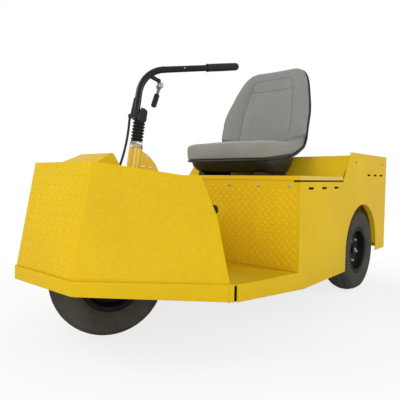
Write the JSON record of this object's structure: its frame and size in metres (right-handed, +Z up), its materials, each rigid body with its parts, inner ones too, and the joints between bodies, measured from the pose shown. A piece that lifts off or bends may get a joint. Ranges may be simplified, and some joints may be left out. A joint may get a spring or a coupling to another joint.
{
  "type": "electric tugger",
  "caption": "Three-wheeled electric tow tractor with a tiller-steered front wheel under a faceted nose, an open foot well, a single seat on a battery box and a flat rear load deck.",
  "frame": {"origin": "on the ground, at the centre of the part's outline seen from above", "axes": "+X forward, +Y to the driver's left, +Z up"},
  "size_m": [1.95, 0.944, 1.1685],
  "materials": {
    "body_yellow": "semi-gloss yellow paint on sheet steel",
    "frame_black": "satin black paint",
    "battery_case": "dark battery cases",
    "motor_grey": "grey castings",
    "wheel_black": "black painted steel wheel",
    "tyre_rubber": "worn tyre rubber",
    "black_rubber": "black rubber",
    "black_plastic": "moulded black plastic",
    "seat_grey": "grey vinyl seat cover",
    "bright_steel": "bright plated steel",
    "axle_steel": "plain steel"
  },
  "bodies": {
    "chassis": {"frame_rails": "frame_black", "cross_members": "frame_black", "battery_tray": "frame_black", "battery_pack": "battery_case", "floor_plate": "body_yellow", "front_skirt": "body_yellow", "side_panel_left": "body_yellow", "side_panel_right": "body_yellow", "rear_panel": "body_yellow", "seat_bulkhead": "body_yellow", "load_deck": "body_yellow", "seat_box_front": "body_yellow", "seat_box_rear": "body_yellow", "seat_deck": "body_yellow", "nose_front": "body_yellow", "nose_side_left": "body_yellow", "nose_side_right": "body_yellow", "nose_top": "body_yellow", "nose_hump": "body_yellow", "dash_panel": "body_yellow", "dash_wings": "body_yellow", "steering_head": "frame_black", "pedals": "black_rubber", "rear_axle": "motor_grey", "drive_motor": "motor_grey", "axle_brackets": "frame_black", "brake_drums": "motor_grey", "tow_hitch": "frame_black", "seat_rails": "frame_black", "seat_pan": "black_plastic", "seat_cushion": "seat_grey", "seat_back": "seat_grey", "seat_shell": "black_plastic", "cable_grommet": "black_rubber", "control_cable": "black_rubber"},
    "steering": {"front_fork": "frame_black", "front_axle": "axle_steel", "tiller_socket": "body_yellow", "socket_collar": "bright_steel", "tiller_bellows": "black_rubber", "tiller_bracket": "black_plastic", "tiller_tube": "frame_black", "tiller_grip": "black_rubber", "lever_arm": "frame_black", "hand_lever": "bright_steel", "lever_knob": "black_plastic"},
    "front_wheel": {"front_rim": "wheel_black", "front_tyre": "tyre_rubber"},
    "rear_wheel_left": {"rear_rim_left": "wheel_black", "rear_tyre_left": "tyre_rubber"},
    "rear_wheel_right": {"rear_rim_right": "wheel_black", "rear_tyre_right": "tyre_rubber"}
  },
  "joints": [
    {"name": "steer", "type": "hinge", "parent": "chassis", "child": "steering", "pos_m": [0.669, 0, 0.20173], "axis": [-0.1724, 0, 0.985], "range_deg": [-34.3, 85.7], "deforming": ["control_cable"]},
    {"name": "front_wheel_spin", "type": "hinge", "parent": "steering", "child": "front_wheel", "pos_m": [0.70007, -0.01518, 0.20716], "axis": [0.4272, 0.9011, 0.0748], "continuous": true},
    {"name": "rear_wheel_left_spin", "type": "hinge", "parent": "chassis", "child": "rear_wheel_left", "pos_m": [-0.517, 0.403, 0.2075], "axis": [0, 1, 0], "continuous": true},
    {"name": "rear_wheel_right_spin", "type": "hinge", "parent": "chassis", "child": "rear_wheel_right", "pos_m": [-0.517, -0.403, 0.2075], "axis": [0, 1, 0], "continuous": true}
  ]
}
